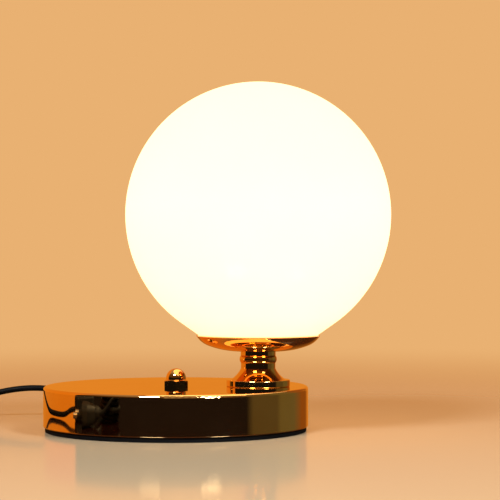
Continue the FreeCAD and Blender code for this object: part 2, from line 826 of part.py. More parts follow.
def lampholder():
    on_neck = {"along_x": neck_at}
    floor_top = total(holder_bottom, "holderFloor")
    flare_top = total(holder_bottom, "holderFlare")
    seat_radius = "(holderRadius - holderWall)"
    turned("holder_cap", [
        (pipe_hole, holder_bottom),
        ("holderHubRadius", holder_bottom),
        ("holderRadius", flare_top, "holderFlare + holderWall", "left"),
        ("holderRadius", holder_cap_top),
        (seat_radius, holder_cap_top),
        (seat_radius, ledge_top),
        (f"{seat_radius} - holderLedge", ledge_top),
        (f"{seat_radius} - holderLedge", f"{flare_top} - holderFit"),
        ("holderHubRadius - holderWall", floor_top),
        (pipe_hole, floor_top),
    ], **on_neck)
    insert_radius = f"({seat_radius} - holderFit)"
    turned("holder_insert", disc_corners(insert_radius, ledge_top, holder_cap_top), **on_neck)
    sleeve_outer = total("sleeveRadius", "sleeveWall")
    sleeve_top = total(holder_cap_top, "sleeveLength")
    turned("holder_sleeve", tube_corners("sleeveRadius", sleeve_outer, holder_cap_top, sleeve_top), **on_neck)
    body_top = total(sleeve_top, "sleeveRecess")
    bore = total(sleeve_outer, "holderFit")
    turned("holder_body", [
        (bore, holder_cap_top),
        ("holderRadius", holder_cap_top),
        ("holderRadius", f"{body_top} - sleeveLength / 2"),
        ("holderRadius - holderBodyDraft", f"{body_top} - sleeveWall", "4 * sleeveLength", "left"),
        ("holderRadius - holderBodyDraft - sleeveWall", body_top, "sleeveWall", "left"),
        (bore, body_top),
    ], **on_neck)
    contact_top = total(holder_cap_top, "holderContactHeight")
    crown = "(holderContactRadius^2 + (holderContactHeight / 2)^2) / holderContactHeight"
    turned("holder_contact", [
        ("0", holder_cap_top), ("holderContactRadius", holder_cap_top),
        ("holderContactRadius", f"{contact_top} - holderContactHeight / 2"),
        ("0", contact_top, crown, "left"),
    ], **on_neck)


def bulb():
    on_neck = {"along_x": neck_at}
    contact_top = total(bulb_tip, "bulbContactHeight")
    cap_bottom = total(contact_top, "insulatorHeight")
    cap_top = total(holder_cap_top, "sleeveLength", "sleeveRecess", "bulbCollarGap")
    centre = f"({bulb_tip} + bulbLength - bulbRadius)"
    seam_drop = "sqrt(bulbRadius^2 - bulbSeamRadius^2)"
    seam = f"({centre} - {seam_drop})"
    inner = "(bulbRadius - domeWall)"
    inner_seam = f"sqrt({inner}^2 - bulbRadius^2 + bulbSeamRadius^2)"
    tip_round = "(bulbContactRadius^2 + (bulbContactHeight / 2)^2) / bulbContactHeight"
    turned("bulb_contact", [
        ("0", bulb_tip), ("bulbContactRadius", f"{bulb_tip} + bulbContactHeight / 2", tip_round, "left"),
        ("bulbContactRadius", contact_top), ("0", contact_top),
    ], **on_neck)
    turned("bulb_insulator", [
        ("0", contact_top), ("bulbContactRadius", contact_top),
        (f"{bulb_cap_radius} - bulbCollarStep", cap_bottom), ("0", cap_bottom),
    ], **on_neck)
    turned("bulb_cap", disc_corners(bulb_cap_radius, cap_bottom, cap_top), **on_neck)
    collar_foot = total(bulb_cap_radius, "bulbCollarStep")
    turned("bulb_collar", [
        ("0", cap_top), (collar_foot, cap_top), (collar_foot, f"{cap_top} + bulbCollarLand"),
        ("bulbSeamRadius", seam, "bulbCollarHollow", "right"), ("0", seam),
    ], **on_neck)
    board = disc_corners(f"{inner_seam} - boardMargin", seam, f"{seam} + boardThickness")
    turned("bulb_board", board, **on_neck)
    turned("bulb_dome", [
        (inner_seam, seam),
        ("bulbSeamRadius", seam),
        ("bulbRadius", centre, "bulbRadius", "left"),
        ("0", f"{centre} + bulbRadius", "bulbRadius", "left"),
        ("0", f"{centre} + {inner}"),
        (inner, centre, inner, "right"),
        (inner_seam, seam, inner, "right"),
    ][1:], **on_neck)


# Wiring inside the base and the neck

def cord_grommet():
    # Moulded grommet: flange inside the shell, waist in the hole, collar and taper outside
    grommet = new_body("cord_grommet", up=exit_height, heading="cordAngle")
    inside = "(baseRadius - shellWall - grommetWallGap)"
    flange_back = f"({inside} - grommetFlangeThickness)"
    outside = "(baseRadius + grommetWallGap)"
    collar_end = f"({outside} + grommetCollar)"
    waist = "(grommetHole - grommetFit)"
    revolve(grommet, "grommet_moulding", [
        (flange_back, "0"), ("baseRadius + grommetLength", "0"), ("baseRadius + grommetLength", "grommetTip"),
        (collar_end, "grommetWaist"), (collar_end, "grommetFlange"), (outside, "grommetFlange"),
        (outside, waist), (inside, waist), (inside, "grommetFlange"), (flange_back, "grommetFlange"),
    ], "H_Axis")
    pieces.append(grommet)


def cord_direction():
    angle = math.radians(value("cordAngle"))
    return Vector(math.cos(angle), math.sin(angle))


def inner_cord():
    # Sheathed end of the cord inside the base, from the grommet to past the clamp
    start = value("baseRadius - shellWall - grommetWallGap - grommetFlangeThickness")
    length = start - value(inner_cord_end)
    foot = cord_direction() * start + Vector(0, 0, value(exit_height))
    place_shape("inner_cord", Part.makeCylinder(value("cordDiameter") / 2, length, foot, -cord_direction()))


def cord_clamp():
    clamp = new_body("cord_clamp", up=weight_top, heading="cordAngle")
    hole = total("clampScrewRadius", "screwClearance")
    near, far = f"{clamp_ring} - clampLength / 2", f"{clamp_ring} + clampLength / 2"
    bar = rectangle(near, far, "-clampWidth / 2", "clampWidth / 2")
    holes = [(clamp_ring, "clampScrewSpread", hole), (clamp_ring, "-clampScrewSpread", hole)]
    pad(clamp, "clamp_bar", outline(clamp, "clamp_outline", "XY_Plane", bar, holes), "clampHeight")
    half_slot = "(cordDiameter / 2 + screwClearance)"
    slot_top = "(cordSeat + cordDiameter + screwClearance)"
    slot = outline(clamp, "clamp_slot_outline", "YZ_Plane",
                   rectangle(f"-{half_slot}", half_slot, "-cordSeat", slot_top))
    pocket(clamp, "clamp_slot", slot, f"3 * {clamp_ring}", both_ways=True)
    pieces.append(clamp)
    screws = new_body("clamp_screws", up=weight_top, heading="cordAngle")
    shanks = [(clamp_ring, side + "clampScrewSpread", "clampScrewRadius") for side in ("", "-")]
    heads = [(clamp_ring, side + "clampScrewSpread", "clampScrewHead") for side in ("", "-")]
    pad(screws, "clamp_shanks", circles(screws, "clamp_shank_circles", "XY_Plane", shanks, "-clampScrewGrip"),
        "clampScrewGrip + clampHeight")
    pad(screws, "clamp_heads", circles(screws, "clamp_head_circles", "XY_Plane", heads, "clampHeight"),
        "clampScrewHeadHeight")
    pieces.append(screws)


def wires():
    # Two single wires from the end of the cord over the weight and up through the pipe to the insert
    outwards, height = cord_direction(), Vector(0, 0, value(exit_height))
    start = outwards * value(inner_cord_end) + height
    neck_foot = Vector(value(neck_at), 0, value(exit_height))
    past_boss = Vector(0, value("weightBossRadius + wireBossGap")) + height
    level = (neck_foot - past_boss).normalize()
    bend, sag = value("wireBend"), value("wireSag")
    for label, spread in (("live_wire", value("wireSpread")), ("neutral_wire", -value("wireSpread"))):
        beside_cord = Vector(outwards.y, -outwards.x) * spread
        in_pipe = neck_foot + Vector(-level.y, level.x) * spread
        tube(label, [
            start + beside_cord,
            start - outwards * value("wireFirstRun") + beside_cord,
            past_boss + Vector(-level.y, level.x) * spread,
            in_pipe - level * value("wireApproach"),
            in_pipe - level * bend - Vector(0, 0, sag),
            in_pipe,
            in_pipe + Vector(sag / 4, 0, bend),
            Vector(in_pipe.x, in_pipe.y, value(ledge_top)),
        ], value("wireDiameter"))


# Inline switch

def on_switch(label, **place):
    return new_body(label, along_x="switchX", along_y="switchY", heading="switchHeading", **place)


def switch_outline():
    return rounded_rectangle("switchLength / 2", "switchWidth / 2", "switchCorner")


def switch_cavity():
    half = total("rockerWidth / 2", "rockerGap")
    reach = f"({screw_reach} - switchCavityMargin)"
    return rectangle(f"-{reach}", reach, f"-{half}", half)


def switch_screw_circles(radius):
    return [(screw_reach, "0", radius), (f"-{screw_reach}", "0", radius)]


def switch_case():
    lower = on_switch("switch_lower_case")
    pad(lower, "lower_tray", outline(lower, "lower_outline", "XY_Plane", switch_outline()), "switchSplit")
    round_edges(lower, "lower_edge", "switchEdge", level_edge(0))
    cavity = outline(lower, "lower_cavity_outline", "XY_Plane", switch_cavity(), lift="switchSplit")
    pocket(lower, "lower_cavity", cavity, "switchSplit - switchWall")
    shank = total("switchScrewRadius", "screwClearance")
    head = total("switchScrewHead", "screwClearance")
    pocket(lower, "lower_screw_holes", circles(lower, "lower_screw_circles", "XY_Plane",
           switch_screw_circles(shank), "switchSplit"), "switchSplit")
    pocket(lower, "lower_head_wells", circles(lower, "lower_head_circles", "XY_Plane",
           switch_screw_circles(head), "2 * switchScrewHeadHeight"), "2 * switchScrewHeadHeight")
    pieces.append(lower)

    upper = on_switch("switch_upper_case")
    pad(upper, "upper_cover",
        outline(upper, "upper_outline", "XY_Plane", switch_outline(), lift="switchSplit"),
        "switchHeight - switchSplit")
    round_edges(upper, "upper_edge", "switchEdge", level_edge(value("switchHeight")))
    cavity = outline(upper, "upper_cavity_outline", "XY_Plane", switch_cavity(), lift="switchSplit")
    pocket(upper, "upper_cavity", cavity, "switchHeight - switchSplit - switchWall", upwards=True)
    half_window, half_width = total("rockerReach", "rockerGap"), total("rockerWidth / 2", "rockerGap")
    window = outline(upper, "window_outline", "XY_Plane",
                     rectangle(f"-{half_window}", half_window, f"-{half_width}", half_width),
                     lift="switchHeight")
    pocket(upper, "window", window, "2 * switchWall")
    pocket(upper, "upper_screw_holes", circles(upper, "upper_screw_circles", "XY_Plane",
           switch_screw_circles(shank), "switchSplit"),
           total("switchScrewGrip", "screwClearance"), upwards=True)
    bearing = circles(upper, "bearing_circle", "XZ_Plane",
                      [("0", pivot_height, total("rockerPinRadius", "rockerPinClearance"))])
    pocket(upper, "bearings", bearing, "rockerWidth + 2 * rockerPinLength + 2 * rockerGap", both_ways=True)
    pieces.append(upper)

    screws = on_switch("switch_screws")
    pad(screws, "switch_screw_heads", circles(screws, "switch_head_circles", "XY_Plane",
        switch_screw_circles("switchScrewHead"), "switchScrewHeadHeight"), "switchScrewHeadHeight")
    pad(screws, "switch_screw_shanks", circles(screws, "switch_shank_circles", "XY_Plane",
        switch_screw_circles("switchScrewRadius"), "2 * switchScrewHeadHeight"),
        "switchSplit - 2 * switchScrewHeadHeight + switchScrewGrip")
    pieces.append(screws)

    strips = on_switch("switch_contacts")
    for name, inner, outer in (("feed", "switchWall", total("switchWall", "contactStripLength")),
                               ("load", f"-{total('switchWall', 'contactStripLength')}", "-switchWall")):
        strip = rectangle(inner, outer, "-contactStripWidth / 2", "contactStripWidth / 2")
        pad(strips, name + "_strip", outline(strips, name + "_outline", "XY_Plane", strip, lift="switchWall"),
            "contactStripThickness")
    pieces.append(strips)


def switch_rocker():
    # Dished button on two stub pins, stored tipped to the on side
    rocker = document.addObject("PartDesign::Body", "switch_rocker")
    rocker.Label = "switch_rocker"
    turns = f"rotation({turn_by('switchHeading')}; {turn_by('rockerTilt')}; 0 deg)"
    bind(rocker, "Placement", f"placement(vector(switchX; switchY; {pivot_height}); {turns})")
    reach = "rockerReach"
    low = f"sqrt({reach}^2 - rockerDepth^2)"
    high = f"sqrt({reach}^2 - rockerRise^2)"
    button = outline(rocker, "button_outline", "XZ_Plane", [
        (f"-{low}", "-rockerDepth"),
        (low, "-rockerDepth"),
        (high, "rockerRise", reach, "left"),
        (f"-{high}", "rockerRise", "rockerDish", "right"),
        (f"-{low}", "-rockerDepth", reach, "left"),
    ][1:])
    pad(rocker, "button", button, "rockerWidth", both_ways=True)
    pins = circles(rocker, "pin_circle", "XZ_Plane", [("0", "0", "rockerPinRadius")])
    pad(rocker, "pins", pins, "rockerWidth + 2 * rockerPinLength", both_ways=True)
    pieces.append(rocker)


# Free cord, from the grommet to the plug

def switch_end(share):
    # Centre of an end face of the switch; -1 where the lead comes in, 1 where the link goes out
    heading = math.radians(value("switchHeading"))
    along = Vector(math.cos(heading), math.sin(heading)) * value("switchLength") / 2
    return Vector(value("switchX"), value("switchY"), value("switchSplit")) + along * share, along.normalize()


def cord_lead():
    exit_point = cord_direction() * value("baseRadius + grommetLength") + Vector(0, 0, value(exit_height))
    entry, along = switch_end(-1)
    tube("cord_lead", [
        exit_point,
        exit_point + cord_direction() * 10,
        exit_point + Vector(-17.2, 12.9, 0.6),
        exit_point + Vector(-30.2, 15.6, 1.1),
        exit_point + Vector(-45.2, 14.1, -0.5),
        exit_point + Vector(-61.2, 8.3, -4.7),
        exit_point + Vector(-75.5, -1.0, -9.5),
        exit_point + Vector(-87.3, -13.2, -13.1),
        exit_point + Vector(-96.0, -28.8, -14.3),
        entry + Vector(-5.3, 77.1, -4.3),
        entry + Vector(-6.5, 53.0, -4.3),
        entry + Vector(-3.2, 31.0, -3.5),
        entry - along * 11,
        entry,
    ], value("cordDiameter"))


def coil_centre():
    return Vector(value("coilX"), value("coilY"), value("cordDiameter / 2 + coilLift"))


def cord_link():
    leave, along = switch_end(1)
    arrive = coil_centre() + Vector(-value("coilRadius"), value("cordDiameter"))
    tube("cord_link", [
        leave,
        leave + along * 10,
        arrive + Vector(-0.5, 15.9, 1.3),
        arrive + Vector(0, 8),
        arrive,
    ], value("cordDiameter"))


def coil_half_turns(pitch):
    # Radius and climb of each half turn: four layers that spiral in, out, in and out
    # A layer has five level half turns; the half turn where the spiral reverses climbs to the next layer
    outer = value("coilRadius")
    inward = [outer - pitch * n / 2 for n in range(5)]
    outward = inward[::-1]
    turns = []
    for layer in range(4):
        going_in = layer % 2 == 0
        turns += [(radius, 0) for radius in (inward if going_in else outward)]
        if layer < 3:
            turns.append((inward[-1] - pitch / 2 if going_in else outer + pitch / 2, pitch))
    return turns


def cord_coil():
    diameter = value("cordDiameter")
    pitch = diameter + value("coilGap")
    here = coil_centre() + Vector(-value("coilRadius"), 0)
    edges = [Part.LineSegment(here + Vector(0, diameter), here).toShape()]
    side = 1
    for radius, climb in coil_half_turns(pitch):
        there = here + Vector(2 * radius * side, 0, climb)
        bulge = Vector(0, -side) * (there - here).Length / 2
        edges.append(Part.Arc(here, (here + there) / 2 + bulge, there).toShape())
        here, side = there, -side
    edges.append(Part.LineSegment(here, here + Vector(0, diameter)).toShape())
    path = Part.Wire(edges)
    solid = swept_round(path, diameter)
    ratio = solid.Volume / (math.pi * diameter**2 / 4 * path.Length)
    print(f"cord_coil: length {path.Length:.1f}, least gap {least_gap(edges, diameter):.2f}, "
          f"volume ratio {ratio:.4f}")
    place_shape("cord_coil", solid)
    return here + Vector(0, diameter)


def least_gap(edges, diameter):
    # Smallest clear gap of the coil to itself, on points along its line
    points, along = [], 0
    for edge in edges:
        steps = max(2, int(edge.Length))
        for step in range(steps):
            share = step / steps
            place = edge.valueAt(edge.FirstParameter + share * (edge.LastParameter - edge.FirstParameter))
            points.append((along + share * edge.Length, place))
        along += edge.Length
    near = [
        (one - two).Length
        for number, (at, one) in enumerate(points)
        for further, two in points[number + 1:]
        if further - at > 4 * diameter
    ]
    return min(near) - diameter


def coil_tie():
    # Flat band round the bundle where all its half turns lie level
    pitch = "(cordDiameter + coilGap)"
    tie = new_body("coil_tie", along_x=f"coilX + {pitch} / 2", along_y="coilY")
    half_wide = f"({pitch} + (cordDiameter + tieSlack) / 2 + tieClearance)"
    half_tall = f"(1.5 * {pitch} + cordDiameter / 2 + tieClearance)"
    middle = f"-(coilRadius - {pitch} - tieSlack / 2)"
    centre_up = f"(coilLift + cordDiameter / 2 + 1.5 * {pitch})"
    outer = band_outline(tie, "tie_outer", f"({half_wide} + tieThickness)", f"({half_tall} + tieThickness)",
                         middle, centre_up, "(tieCorner + tieThickness)")
    pad(tie, "tie_band", outer, "tieWidth", both_ways=True)
    inner = band_outline(tie, "tie_inner", half_wide, half_tall, middle, centre_up, "tieCorner")
    pocket(tie, "tie_hole", inner, "2 * tieWidth", both_ways=True)
    pieces.append(tie)


def band_outline(body, name, half_wide, half_tall, middle, centre_up, corner):
    corners = [(f"{middle} + {place[0]}", *place[1:])
               for place in rounded_rectangle(half_wide, half_tall, corner, centre_up)]
    return outline(body, name, "YZ_Plane", corners)


def cord_end(coil_finish):
    heading = math.radians(value("plugHeading"))
    along = Vector(math.cos(heading), math.sin(heading))
    arrive = Vector(value("plugX"), value("plugY"), value("plugThickness") / 2)
    tube("cord_end", [
        coil_finish,
        coil_finish + Vector(0, 8),
        coil_finish + Vector(-1.6, 17.0, -2.3),
        arrive + Vector(4.9, -16.4, 2.4),
        arrive - along * 8,
        arrive,
    ], value("cordDiameter"))


# Plug

def plug():
    place = {"along_x": "plugX", "along_y": "plugY", "up": "plugThickness / 2", "heading": "plugHeading"}
    body = new_body("plug_body", **place)
    tail_end = "plugTailLength"
    revolve(body, "plug_tail", [
        ("0", "0"), (tail_end, "0"), (tail_end, "plugNeckThickness / 2"), ("0", "plugTailRadius"),
    ], "H_Axis")
    sections = []
    for name, reach, half_wide, half_tall, corner in (
        ("plug_neck", tail_end, "plugNeckWidth / 2", "plugNeckThickness / 2", "plugCorner * 0.7"),
        ("plug_shoulder", "plugBodyLength * 0.72", "plugWidth * 0.47", "plugThickness / 2", "plugCorner"),
        ("plug_face", "plugBodyLength", "plugWidth / 2", "plugThickness / 2", "plugCorner"),
    ):
        section = outline(body, name, "YZ_Plane", rounded_rectangle(half_wide, half_tall, corner), lift=reach)
        sections.append(section)
    loft = body.newObject("PartDesign::AdditiveLoft", "plug_moulding")
    loft.Profile = sections[0]
    loft.Sections = sections[1:]
    loft.Ruled = True
    body.Tip = loft
    half_space = "pinSpacing / 2"
    bore = total("pinRadius", "pinFit")
    holes = [(half_space, "0", bore), ("-" + half_space, "0", bore)]
    pocket(body, "pin_holes", circles(body, "pin_hole_circles", "YZ_Plane", holes, "plugBodyLength"),
           total("pinRoot", "pinFit"))
    pieces.append(body)
    pins = new_body("plug_pins", **place)
    rods = [(half_space, "0", "pinRadius"), ("-" + half_space, "0", "pinRadius")]
    pad(pins, "pin_rods", circles(pins, "pin_circles", "YZ_Plane", rods, "plugBodyLength - pinRoot"),
        "pinRoot + pinReach")
    document.recompute()
    tip = value("plugBodyLength + pinReach")
    round_edges(pins, "pin_tips", "0.6 * pinRadius", lambda edge: abs(edge.BoundBox.XMin - tip) < 1e-4)
    pieces.append(pins)


base_shell()
counterweight()
bottom_plate()
foot_pad()
centre_bolt()
cap_nut()
neck()
dish()
dish_gasket()
globe_spring()
globe()
lampholder()
bulb()
cord_grommet()
inner_cord()
cord_clamp()
wires()
switch_case()
switch_rocker()
cord_lead()
cord_link()
coil_finish = cord_coil()
coil_tie()
cord_end(coil_finish)
plug()

document.recompute()

faults = [item.Label for item in document.Objects if {"Invalid", "Error"} & set(item.State)]
faults += [piece.Label for piece in pieces if piece.Shape.isNull() or not piece.Shape.isValid()]
faults += [after.Label for before, after in cuts if after.Shape.Volume > before.Shape.Volume - 1e-3]
if faults:
    raise RuntimeError("not sound: " + ", ".join(faults))

os.makedirs("parts", exist_ok=True)
for piece in pieces:
    piece.Shape.exportStep(f"parts/{piece.Label}.step")
print(f"{len(pieces)} pieces written")
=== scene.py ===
import math
import bmesh
import bpy
from mathutils import Matrix, Vector


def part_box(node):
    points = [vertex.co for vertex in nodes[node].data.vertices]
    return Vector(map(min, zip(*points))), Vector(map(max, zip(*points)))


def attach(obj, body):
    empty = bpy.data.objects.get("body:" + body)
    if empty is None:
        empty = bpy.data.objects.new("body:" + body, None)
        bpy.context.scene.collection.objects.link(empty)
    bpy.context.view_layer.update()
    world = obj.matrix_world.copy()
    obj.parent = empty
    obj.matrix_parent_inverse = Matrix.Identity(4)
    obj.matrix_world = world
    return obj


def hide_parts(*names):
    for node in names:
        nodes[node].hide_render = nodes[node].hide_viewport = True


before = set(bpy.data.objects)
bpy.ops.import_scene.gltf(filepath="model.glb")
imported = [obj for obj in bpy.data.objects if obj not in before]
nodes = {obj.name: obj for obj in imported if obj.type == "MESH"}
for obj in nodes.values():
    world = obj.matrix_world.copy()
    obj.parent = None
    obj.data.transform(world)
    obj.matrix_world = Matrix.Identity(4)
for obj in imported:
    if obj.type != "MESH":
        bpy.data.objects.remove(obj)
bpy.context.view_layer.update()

scene = bpy.context.scene
scene.view_settings.view_transform = "Standard"
print("frame loaded,", len(nodes), "pieces")


def toLinear(hexColour):
    # sRGB hex to the linear colour that Blender's sockets take
    parts = [int(hexColour[i:i + 2], 16) / 255 for i in (1, 3, 5)]
    return tuple(c / 12.92 if c <= 0.04045 else ((c + 0.055) / 1.055) ** 2.4 for c in parts) + (1.0,)


def addNode(tree, kind, settings=None, links=None):
    # a node with its properties, unlinked inputs, ramp stops and incoming links;
    # a link comes from a socket, or from a node's first output
    node = tree.nodes.new(kind)
    for key, value in (settings or {}).items():
        if key == "stops":
            ramp = node.color_ramp.elements
            for number, (place, colour) in enumerate(value):
                stop = ramp[number] if number < 2 else ramp.new(place)  # a new ramp has two stops
                stop.position = place
                stop.color = toLinear(colour)
        elif isinstance(key, str) and hasattr(node, key):
            setattr(node, key, value)
        else:
            node.inputs[key].default_value = value
    for key, source in (links or {}).items():
        socket = source.outputs[0] if isinstance(source, bpy.types.Node) else source
        tree.links.new(socket, node.inputs[key])
    return node


def addPiece(name, data, body="lamp"):
    piece = bpy.data.objects.new(name, data)
    scene.collection.objects.link(piece)
    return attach(piece, body)


# camera: held level, a little to the right of the base; place in metres, turn in degrees
lens = {
    "place": (0.138322, -1.099127, 0.1021),
    "turn": 5.0,
    "focal": 140.4,
}
camera = bpy.data.objects.new("camera", bpy.data.cameras.new("camera"))
camera.data.sensor_fit = "HORIZONTAL"
camera.data.lens = lens["focal"]
camera.location = lens["place"]
camera.rotation_euler = (math.radians(90), 0, math.radians(lens["turn"]))
scene.collection.objects.link(camera)
scene.camera = camera
print("camera set")

# cords, in millimetres: the lead from the base to the switch, then link, coil and end to the plug
cordWidth = 3.6
cordSteps = 6  # curve steps between two points of a route
cordBevel = 4  # gives the section 12 sides
leadRoute = [
    (-69.776, 67.382, 16.5), (-76.969, 74.328, 16.5), (-86.976, 80.282, 17.1), (-99.976, 82.982, 17.6),
    (-114.976, 81.482, 16.0), (-130.976, 75.682, 11.8), (-145.276, 66.382, 7.0), (-157.076, 54.182, 3.4),
    (-165.776, 38.582, 2.2), (-170.323, 18.029, 2.2), (-171.523, -6.071, 2.2), (-168.223, -28.071, 3.0),
    (-165.790, -48.097, 6.5), (-165.023, -59.071, 6.5),
]
linkRoute = [
    (-160.977, -116.929, 6.5), (-160.279, -126.905, 6.5), (-158.5, -137.1, 4.3), (-158.0, -145.0, 3.0),
    (-158.0, -153.0, 3.0),
]
endRoute = [
    (-104.5, -153.0, 15.3), (-104.5, -145.0, 15.3), (-106.1, -136.0, 13.0), (-108.9, -127.0, 9.25),
    (-111.729, -118.327, 6.85), (-113.8, -110.6, 6.85),
]
coil = {
    "start": (-158.0, -156.6, 3.0),
    "radius": 24.7,
    "pitch": 4.1,
    "halvesPerLayer": 5,
    "layers": [(0, -1), (-2, 1), (0, -1), (-2, 1)],  # first half turn's step and the way it goes
    "climbs": [-2.5, 0.5, -2.5],                     # half turn that lifts the cord to the next layer
    "pointsPerHalf": 8,
}


def coilRoute():
    # the half turns of a layer, then one that climbs, each a half circle from side to side
    halves = []
    for layer, (first, way) in enumerate(coil["layers"]):
        halves += [(first + way * k / 2, 0.0) for k in range(coil["halvesPerLayer"])]
        if layer < len(coil["climbs"]):
            halves.append((coil["climbs"][layer], coil["pitch"]))
    x, y, z = coil["start"]
    step = math.pi / coil["pointsPerHalf"]
    route = []
    for number, (inward, climb) in enumerate(halves):
        radius = coil["radius"] + inward * coil["pitch"]
        side = -1 if number % 2 == 0 else 1
        centre = x - side * radius
        reach = radius / math.cos(step / 2)
        for k in range(coil["pointsPerHalf"]):
            angle = (k + 0.5) * step
            route.append((
                centre + side * reach * math.cos(angle),
                y + side * reach * math.sin(angle),
                z + climb * (1 - math.cos(angle)) / 2,
            ))
        x -= 2 * side * radius
        z += climb
    return route


def layCord(name, route):
    curve = bpy.data.curves.new(name, "CURVE")
    curve.dimensions = "3D"
    curve.resolution_u = cordSteps
    curve.bevel_depth = 1.0  # times each point's own radius, which the bounds read too
    curve.bevel_resolution = cordBevel
    curve.use_fill_caps = True
    spline = curve.splines.new("NURBS")
    spline.points.add(len(route) - 1)
    for point, place in zip(spline.points, route):
        point.co = (place[0] / 1000, place[1] / 1000, place[2] / 1000, 1.0)
        point.radius = cordWidth / 2000
    spline.order_u = 3
    spline.use_endpoint_u = True
    return addPiece(name, curve)


leadCord = layCord("lead_cord", leadRoute)
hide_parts("cord_lead")
mainsCord = layCord("mains_cord", linkRoute + coilRoute() + endRoute)
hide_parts("cord_link", "cord_coil", "cord_end")
print("cords laid")

# stage: a warm backdrop, and what the polished metal mirrors round about, by azimuth:
# 0 and 1 lie behind the lamp, 0.5 on the camera's side, and image right comes after it
stage = {
    "backdrop": "#E9B172",
    "mirrored": [
        (0.0, "#E68B2A"), (0.16, "#EE8F25"), (0.238, "#EE8F25"),  # warm behind and at the left
        (0.243, "#171717"), (0.68, "#171717"),                    # dark in front
        (0.70, "#5D5234"), (0.775, "#5D5234"),                    # olive at the right
        (0.79, "#70663F"), (0.848, "#70663F"),
        (0.895, "#985618"), (0.93, "#985618"), (0.955, "#E68B2A"),
    ],
    "aloft": "#664626",
    "aloftSpan": (0.12, 0.32),  # upward part of the mirrored direction
    "overhead": "#A58F74",
    "overheadSpan": (0.55, 0.95),
    "ambient": "#FFF0DC",
    "ambientLevel": 0.12,
}


def makeWorld():
    world = bpy.data.worlds.new("studio")
    world.use_nodes = True
    tree = world.node_tree
    tree.nodes.clear()
    path = addNode(tree, "ShaderNodeLightPath").outputs
    towards = addNode(tree, "ShaderNodeTexCoord").outputs["Generated"]
    aligned = addNode(tree, "ShaderNodeMapping", {
        "vector_type": "VECTOR", "Rotation": (0, 0, math.radians(-lens["turn"])),
    }, {"Vector": towards})
    axes = addNode(tree, "ShaderNodeSeparateXYZ", links={"Vector": aligned}).outputs
    facing = addNode(tree, "ShaderNodeMath", {"operation": "MULTIPLY", 1: -1.0}, {0: axes["Y"]})
    azimuth = addNode(tree, "ShaderNodeMath", {"operation": "ARCTAN2"}, {0: axes["X"], 1: facing})
    around = addNode(tree, "ShaderNodeMapRange", {"From Min": -math.pi, "From Max": math.pi},
                     {"Value": azimuth})
    sides = addNode(tree, "ShaderNodeValToRGB", {"stops": stage["mirrored"]}, {"Fac": around})
    dome = sides.outputs["Color"]
    for layer, blend in (("aloft", "LIGHTEN"), ("overhead", "MIX")):
        low, high = stage[layer + "Span"]
        height = addNode(tree, "ShaderNodeMapRange", {
            "interpolation_type": "SMOOTHSTEP", "From Min": low, "From Max": high}, {"Value": axes["Z"]})
        dome = addNode(tree, "ShaderNodeMix", {
            "data_type": "RGBA", "blend_type": blend, 7: toLinear(stage[layer]),
        }, {0: height, 6: dome}).outputs[2]
    mirrored = addNode(tree, "ShaderNodeBackground", {"Strength": 1.0}, {"Color": dome})
    ambient = addNode(tree, "ShaderNodeBackground", {
        "Color": toLinear(stage["ambient"]), "Strength": stage["ambientLevel"]})
    shown = addNode(tree, "ShaderNodeBackground", {"Color": toLinear(stage["backdrop"]), "Strength": 1.0})
    glossy = addNode(tree, "ShaderNodeMixShader", links={0: path["Is Glossy Ray"], 1: ambient, 2: mirrored})
    direct = addNode(tree, "ShaderNodeMath", {"operation": "MAXIMUM"},
                     {0: path["Is Camera Ray"], 1: path["Is Transmission Ray"]})
    whole = addNode(tree, "ShaderNodeMixShader", links={0: direct, 1: glossy, 2: shown})
    addNode(tree, "ShaderNodeOutputWorld", links={"Surface": whole})
    return world


scene.world = makeWorld()

# floor: pale lacquered board that fades into the backdrop, and that metal mirrors as a dark gloss
board = {
    "size": 8.0,             # metres
    "drop": 0.0002,
    "fade": (0.15, 1.0),     # metres from the middle of the base
    "colour": "#C0AA86",
    "cloud": 250,            # millimetres
    "cloudDetail": 2.0,
    "gloss": (0.09, 0.14),
    "ior": 1.5,
    "shine": 0.05,
    "coat": 0.14,
    "coatGloss": 0.05,
    "mirrored": "#30150E",
    "mirroredGloss": 0.1,
    "mirroredCoat": 1.0,
}


